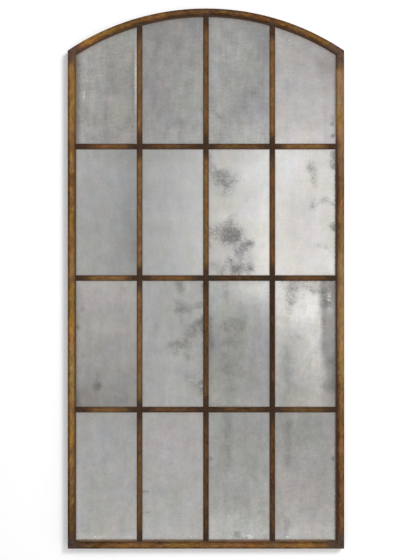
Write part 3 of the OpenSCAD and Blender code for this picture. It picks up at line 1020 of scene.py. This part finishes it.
# By row, 1 at the top, and column, 1 at the left
PANES = {
    (1, 1): Pane(154, -10, 2, 2.5, -3.5, 1.0)
    # The cloud at (5, 200) is painted shadow beside the left stile, and the one at (231, 240) a
    # painted highlight along the upright
    .clouds((5, 200, 11, 260, -44, 2, -2), (30, 190, 6, 25, 14), (40, 290, 5, 25, 8),
     (45, 130, 14, 40, -8), (60, 250, 60, 90, 0, -2, -0.5), (80, 230, 45, 30, 7),
     (110, 210, 100, 30, -12), (145, 30, 35, 25, -22), (170, 60, 90, 60, 2, 1),
     (220, 250, 10, 130, -14, -2), (231, 240, 3, 140, 62, 8, -14))
    .glints((20, 150, 4, 16, 0.7), (30, 190, 4, 24, 1), (35, 285, 4, 10, 0.6),
     (68, 220, 12, 4, 0.8)),
    (1, 2): Pane(149, 5, -17, 1, -2, 0.85)
    .clouds((30, 400, 60, 60, -5), (35, 375, 22, 40, 9), (40, 170, 40, 120, 0, 2, 2),
     (60, 190, 60, 110, -6), (110, 400, 90, 50, 0, 2.5), (200, 170, 50, 150, 2, -1.5, -2.5))
    .spots((160, 45, 14, 0.3))
    .streaks((235, 135, 235, 100, 8, 0.5))
    .glints((175, 10, 30, 6, 0.7)),
    (1, 3): Pane(158, 0, -14, 0, -2.5, 0.9)
    .clouds((60, 160, 60, 120, 0, -1, -2), (75, 370, 30, 35, 6), (115, 370, 70, 50, 5),
     (130, 135, 60, 90, -12), (190, 40, 90, 60, 12), (190, 220, 50, 80, -6),
     (190, 120, 50, 100, 0, 1.5, 2.5), (215, 295, 14, 35, -8), (220, 380, 60, 90, -16))
    .spots((20, 15, 10, 0.3), (75, 285, 20, 0.2))
    .streaks((10, 135, 45, 105, 12, 0.4)),
    (1, 4): Pane(178, -4, -32, 3.5, -2, 0.6)
    .clouds((50, 200, 40, 120, -4, 0, 2), (150, 20, 110, 30, 7), (190, 300, 40, 50, -18),
     (235, 200, 12, 300, -18, 2, -1))
    .spots((30, 420, 12, 0.4), (170, 310, 14, 0.3), (200, 300, 16, 0.2), (225, 30, 8, 0.85))
    .streaks((220, 105, 220, 75, 8, 0.5))
    .glints((42, 402, 30, 22, 0.5), (212, 110, 14, 40, 0.5)),
    (2, 1): Pane(159, -11, 6, 0, -2, 0.5)
    # The cloud at (195, 465), along the top under the cross bar, is painted shadow
    .clouds((8, 455, 16, 40, -6), (30, 190, 40, 40, -6), (60, 90, 60, 90, 0, -0.5, -2.5),
     (110, 360, 110, 130, 0, 0, 1.5), (195, 465, 80, 35, -10), (210, 250, 50, 180, -10),
     (225, 90, 40, 90, -10)),
    (2, 2): Pane(174, 24, -3, 0, -1, 0.4)
    # The cloud at (120, 470), along the top under the cross bar, is painted shadow
    .clouds((80, 220, 60, 30, 4), (120, 470, 140, 35, -8), (200, 250, 70, 150, 6),
     (210, 155, 30, 50, 6), (210, 330, 40, 150, 0, -0.5, -3)),
    (2, 3): Pane(202, 36, 0, 1.5, -3.5, 0.4, 1.0)
    # The cloud at (120, 470), along the top under the cross bar, is painted shadow
    .clouds((25, 35, 32, 40, -8), (35, 275, 25, 35, 8), (40, 330, 50, 60, -4, -2, -1),
     (45, 215, 45, 35, 9), (110, 60, 80, 120, 0, 2), (120, 470, 140, 35, -10),
     (148, 100, 30, 90, -9), (200, 400, 50, 90, 0, -1.5, 2.5), (215, 280, 30, 40, 8),
     (215, 90, 35, 120, 6))
    .spots((30, 390, 20, 0.35), (72, 366, 35, 0.66), (70, 320, 14, 0.3), (145, 285, 14, 0.3),
     (90, 215, 16, 0.45), (160, 200, 14, 0.25), (90, 154, 34, 0.85), (88, 150, 22, 0.75),
     (158, 122, 14, 0.78), (130, 110, 12, 0.5), (122, 84, 20, 0.68), (155, 60, 14, 0.35),
     (75, 55, 16, 0.42), (15, 40, 18, 0.3), (108, 24, 24, 0.94), (162, 22, 16, 0.62),
     (50, 15, 18, 0.48))
    .streaks((5, 475, 5, 415, 10, 0.35), (10, 395, 60, 350, 20, 0.2),
     (5, 170, 60, 165, 24, 0.5), (2, 150, 2, 110, 8, 0.4)),
    (2, 4): Pane(211, -8, 0, 3, -4, 0.4, 0.9)
    .clouds((50, 430, 90, 70, 6, -2, 2.5), (60, 160, 40, 100, -3), (60, 40, 70, 60, 4),
     (110, 280, 60, 50, -5), (190, 60, 60, 60, 11), (220, 250, 25, 200, 0, -1, -3),
     (225, 35, 20, 40, 10))
    .spots((140, 420, 16, 0.6), (145, 270, 18, 0.52), (185, 295, 12, 0.3), (200, 285, 12, 0.4),
     (225, 275, 8, 0.5), (220, 190, 12, 0.6), (230, 185, 10, 0.95))
    .streaks((145, 405, 150, 365, 14, 0.27), (150, 375, 160, 340, 12, 0.18),
     (225, 475, 225, 420, 10, 0.8), (130, 115, 200, 110, 10, 0.34)),
    (3, 1): Pane(153, 0, 22, 3, -3.5, 0.6)
    .clouds((0, 250, 10, 300, -12), (85, 290, 70, 40, 5), (90, 440, 90, 70, 5),
     (110, 30, 140, 60, -9), (115, 195, 30, 40, 5), (130, 150, 60, 70, 0, -3))
    .spots((25, 380, 12, 0.25), (5, 305, 9, 0.75), (80, 230, 13, 0.3), (30, 200, 13, 0.28),
     (85, 80, 15, 0.75), (150, 40, 7, 0.4))
    .streaks((20, 375, 95, 370, 10, 0.15), (80, 125, 85, 80, 14, 0.3), (0, 45, 5, 5, 14, 0.75)),
    (3, 2): Pane(169, 2, 0, 0, -2.5, 0.5)
    .clouds((12, 110, 22, 120, -6), (50, 250, 60, 250, -6, 0, 1), (90, 195, 25, 35, 5),
     (100, 275, 20, 30, 5), (180, 250, 60, 260, -2, 0, -2), (190, 40, 22, 40, -6),
     (205, 275, 20, 35, -8), (228, 170, 22, 160, -9))
    .spots((140, 472, 18, 0.6), (150, 448, 10, 0.4), (220, 395, 14, 0.5), (135, 395, 18, 0.45),
     (160, 380, 20, 0.42), (180, 370, 14, 0.35), (140, 365, 16, 0.35), (150, 330, 14, 0.4),
     (230, 320, 14, 0.5), (205, 315, 20, 0.6), (50, 310, 12, 0.32), (185, 280, 24, 0.45),
     (160, 245, 26, 0.48), (120, 230, 20, 0.58), (184, 195, 22, 0.4), (55, 110, 16, 0.15),
     (183, 108, 22, 0.42), (215, 75, 24, 0.5))
    .streaks((235, 345, 235, 295, 10, 0.6), (235, 470, 235, 20, 10, 0.35))
    .glints((228, 80, 5, 12, 0.8)),
    (3, 3): Pane(163, 12, 14, 0, -3, 0.7, 0.7)
    .clouds((12, 250, 24, 90, -26), (20, 250, 10, 220, 8), (22, 45, 22, 45, 12),
     (50, 440, 16, 40, 7), (80, 270, 40, 120, -4), (80, 130, 50, 90, -8),
     (80, 200, 60, 220, 0, 0, -2), (92, 290, 16, 40, 7), (110, 290, 80, 90, -12),
     (120, 440, 80, 60, 12), (130, 470, 60, 40, 8), (150, 110, 25, 60, -6),
     (172, 355, 16, 40, 8), (200, 230, 50, 160, -9, 0.5, 4), (200, 80, 60, 90, -6),
     (205, 450, 60, 70, 30), (236, 150, 14, 190, -14))
    .spots((85, 325, 28, 0.35), (120, 320, 22, 0.38), (60, 310, 16, 0.45), (105, 260, 24, 0.38),
     (60, 240, 22, 0.4), (125, 200, 20, 0.28), (60, 190, 16, 0.32), (70, 150, 22, 0.52),
     (130, 135, 20, 0.38), (80, 55, 22, 0.42))
    .streaks((60, 480, 70, 420, 14, 0.4), (5, 340, 5, 230, 14, 0.5)),
    (3, 4): Pane(184, 0, 30, 2.5, -3.5, 0.7, 0.9)
    # The cloud at (225, 55) and the patch at (225, 130), beside the right stile, are painted
    # shade
    .clouds((20, 420, 40, 90, 12), (30, 425, 50, 70, 12), (30, 40, 18, 35, -7),
     (40, 160, 40, 140, -16, -3, -0.5), (85, 335, 60, 50, 16), (118, 110, 18, 35, 6),
     (130, 270, 25, 40, 7), (135, 40, 25, 35, -8), (155, 240, 38, 130, 24),
     (210, 440, 6, 20, 20), (210, 375, 12, 14, 20), (225, 455, 22, 40, -24),
     (225, 55, 22, 70, -32))
    .patches((118, 388, 52, 66, 25), (215, 330, 38, 180, -42, 1, 1), (225, 130, 30, 60, -25))
    .spots((225, 470, 14, 0.4), (80, 455, 10, 0.35), (185, 455, 20, 0.35), (45, 440, 10, 0.25),
     (150, 443, 12, 0.25), (200, 405, 20, 0.55), (155, 215, 18, 0.28), (125, 180, 16, 0.32),
     (215, 180, 22, 0.4), (200, 75, 20, 0.5))
    .streaks((30, 490, 225, 490, 9, 0.45), (184, 480, 188, 220, 11, 0.36),
     (66, 475, 64, 415, 17, 0.5), (115, 465, 140, 455, 14, 0.36), (62, 400, 55, 375, 15, 0.3),
     (60, 275, 110, 270, 14, 0.28), (52, 205, 52, 60, 13, 0.24), (230, 200, 230, 60, 10, 0.5))
    .glints((208, 425, 12, 30, 0.8), (212, 378, 14, 10, 0.7)),
    (4, 1): Pane(164, 0, -13, 1, -2.5, 0.5)
    .clouds((8, 160, 22, 180, 6), (60, 150, 60, 110, 0, -1, -1.5), (60, 10, 70, 20, 10),
     (100, 325, 25, 40, 4), (120, 420, 100, 110, 0, -0.5, 1.5), (120, 210, 90, 25, -5),
     (150, 20, 90, 40, 0, 2, -0.5), (180, 470, 30, 30, -6), (200, 10, 40, 10, 8))
    .glints((60, 11, 70, 10, 0.5), (200, 11, 40, 9, 0.45)),
    (4, 2): Pane(167, 0, -8, 2, -2.5, 0.5)
    .clouds((75, 190, 30, 30, -8), (90, 370, 90, 80, 0, 2, 1.5), (105, 40, 20, 35, 7),
     (110, 150, 110, 100, 0, -2, -1.5), (120, 25, 90, 22, 8))
    .streaks((70, 350, 105, 350, 6, 0.25), (80, 190, 190, 185, 8, 0.12),
     (0, 187, 22, 187, 4, 0.6), (0, 107, 25, 107, 4, 0.45))
    .glints((100, 9, 60, 6, 0.5), (200, 14, 40, 11, 0.52)),
    (4, 3): Pane(158, 0, -16, 0, -4, 0.7)
    .clouds((8, 45, 14, 50, 10), (25, 440, 30, 60, 9), (55, 215, 30, 25, -5),
     (80, 350, 60, 120, -5), (90, 190, 40, 40, -6), (110, 40, 150, 70, 14), (130, 20, 6, 6, 20),
     (160, 10, 10, 7, 22), (200, 430, 40, 60, 0, 1, 3.5), (208, 40, 22, 40, 7))
    .spots((5, 315, 10, 0.6), (110, 20, 14, 0.5), (140, 10, 10, 0.5), (220, 10, 9, 0.25))
    .streaks((70, 480, 75, 300, 16, 0.42))
    .glints((60, 11, 50, 10, 0.52), (150, 15, 35, 11, 0.75)),
    (4, 4): Pane(159, -3, -18, 2.5, -3.5, 0.7)
    .clouds((22, 30, 14, 25, -8), (45, 10, 10, 6, 20), (80, 400, 120, 90, -4, -2.5, -0.5),
     (90, 285, 16, 30, -8), (90, 130, 100, 110, 0, 1.5, -0.5), (110, 205, 70, 25, -6),
     (120, 30, 140, 50, 10), (130, 15, 18, 20, 7), (200, 240, 50, 80, -6),
     (222, 25, 25, 30, 14))
    .spots((225, 315, 8, 0.75))
    .streaks((50, 450, 50, 290, 15, 0.42), (40, 75, 40, 15, 13, 0.38))
    .glints((45, 10, 14, 8, 0.85), (150, 13, 70, 11, 0.5)),
}


def pane_stations(start, end, shown_start, shown_end):
    """Places across a pane, closer together inside each edge that shows."""
    even = evenly(start, end, PANE_STEP)
    edges = [shown_start + o for o in EDGE_STEPS] + [shown_end - o for o in EDGE_STEPS]
    kept = [p for p in even if min(abs(p - e) for e in edges) > 1 * MM or p in (start, end)]
    return sorted(kept + edges)


def shade_and_grime_at(row, column, gaps):
    """Painted shade and grime of a pane at these gaps from its left, right, lower and upper
    edges.
    """
    # Beside the right stile the pane takes a painted shadow, softer in the top row
    right_rail_shadow = SHOULDER_SHADOW if row == 1 else STILE_SHADOW
    beside = (
        RAIL_SHADE_AND_GRIME if column == 1 else BAR_SHADE_AND_GRIME,
        right_rail_shadow if column == 4 else BAR_SHADE_AND_GRIME,
        FOOT_SHADE_AND_GRIME if row == 4 else BAR_SHADE_AND_GRIME,
        ARCH_SHADOW if row == 1 else BAR_SHADE_AND_GRIME,
    )
    pairs = zip(gaps, beside)
    return max(amount * math.exp(-max(0, gap) / reach) for gap, (amount, reach) in pairs)


def grid_faces(columns, rows):
    """Faces of a grid of points, and the points round its rim."""
    wide = columns + 1
    faces = []
    for j in range(rows):
        for i in range(columns):
            a = j * wide + i
            faces.append((a, a + 1, a + wide + 1, a + wide))
    rim = list(range(wide))
    rim += [j * wide + columns for j in range(1, rows + 1)]
    rim += [rows * wide + i for i in range(columns - 1, -1, -1)]
    rim += [j * wide for j in range(rows - 1, 0, -1)]
    return faces, rim


def close_back(vertices, faces, values, rim):
    """Gives a sheet its edges and its back, with the numbers of the rim."""
    back = len(vertices)
    for index in rim:
        x, _, z = vertices[index]
        vertices.append((x, FRONT_Y + GLASS_D + GLASS_T, z))
        for numbers in values.values():
            numbers.append(numbers[index])
    for k, index in enumerate(rim):
        following = (k + 1) % len(rim)
        faces.append((rim[following], index, back + k, back + following))
    faces.append(tuple(range(len(vertices) - 1, back - 1, -1)))


def make_pane(row, column, material):
    """A closed sheet of glass whose front ripples a little, arched in the top row."""
    pane = PANES[row, column]
    x0 = COLUMN_EDGE[column - 1] + PANE_GAP / 2
    x1 = COLUMN_EDGE[column] - PANE_GAP / 2
    z0 = ROW_EDGE[row] + PANE_GAP / 2
    top_z = ROW_EDGE[row - 1] - PANE_GAP / 2
    shown_x0 = x0 + (UNDER_RAIL if column == 1 else UNDER_BAR)
    shown_x1 = x1 - (UNDER_RAIL if column == 4 else UNDER_BAR)
    shown_z0 = z0 + (UNDER_RAIL if row == 4 else UNDER_BAR)
    drawn_top = arch_height(0, PANE_EDGE_U) if row == 1 else top_z
    shown_top = drawn_top - (UNDER_RAIL if row == 1 else UNDER_BAR)
    xs = pane_stations(x0, x1, shown_x0, shown_x1)
    zs = pane_stations(z0, drawn_top, shown_z0, shown_top)
    vertices, values = [], {}
    for even_z in zs:
        up = (even_z - z0) / (drawn_top - z0)
        for x in xs:
            z1 = arch_height(x, PANE_EDGE_U) if row == 1 else top_z
            z = z0 + (z1 - z0) * up
            shown_z1 = arch_height(x, FACE_W) if row == 1 else top_z - UNDER_BAR
            ripple = 0.5 + 0.5 * noise.noise(Vector((x, 0, z)) / RIPPLE_WAVE)
            vertices.append((x, FRONT_Y + GLASS_D + RIPPLE_D * ripple, z))
            place = ((x - shown_x0) / MM, (z - shown_z0) / MM)
            gaps = (x - shown_x0, shown_x1 - x, z - shown_z0, shown_z1 - z)
            gather(values, {
                "silver_and_reflection": pane.silver_and_reflection((x - x0) / (x1 - x0), up, *place),
                "foxing": pane.foxed(*place),
                "glint": pane.glinting(*place),
                "shade_and_grime": shade_and_grime_at(row, column, gaps),
                "mottled": pane.mottled,
                "specks": pane.specks,
            })
    faces, rim = grid_faces(len(xs) - 1, len(zs) - 1)
    close_back(vertices, faces, values, rim)
    cell = f"pane_r{row}_c{column}"
    make_piece(f"mirror_{cell}", vertices, faces, values, material, cell)


def make_panes(material):
    for row, column in PANES:
        make_pane(row, column, material)


# Back

def refinish(node, material):
    """Gives a node of the model its material."""
    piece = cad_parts[node]
    piece.data.materials.clear()
    piece.data.materials.append(material)


def finish_back():
    zinc = plated_steel("zinc_steel", ZINC, 160)
    screw = plated_steel("screw_steel", SCREW, 420)
    ring = plated_steel("ring_steel", RING, 300)
    refinish("backing_board", fibreboard())
    refinish("mastic_dabs", mastic())
    refinish("wall_bumpers", rubber())
    refinish("backing_clips", zinc)
    for node in ("clip_screws", "hanger_screws"):
        refinish(node, screw)
    for side in ("left", "right"):
        refinish(f"{side}_hanger_strap", zinc)
        refinish(f"{side}_hanger_ring", ring)


bpy.context.scene.view_settings.view_transform = "Standard"
make_camera()
make_key_light()
make_world()
make_wall()
make_floor()
make_frame(rubbed_finish("frame_finish", unevenness=1.0, burnt=SCORCHED, red=1.0, blue=1.0))
make_bars(rubbed_finish("bar_finish", unevenness=0.72, burnt=BURNT, red=0.95, blue=1.22))
make_panes(antique_mirror())
finish_back()
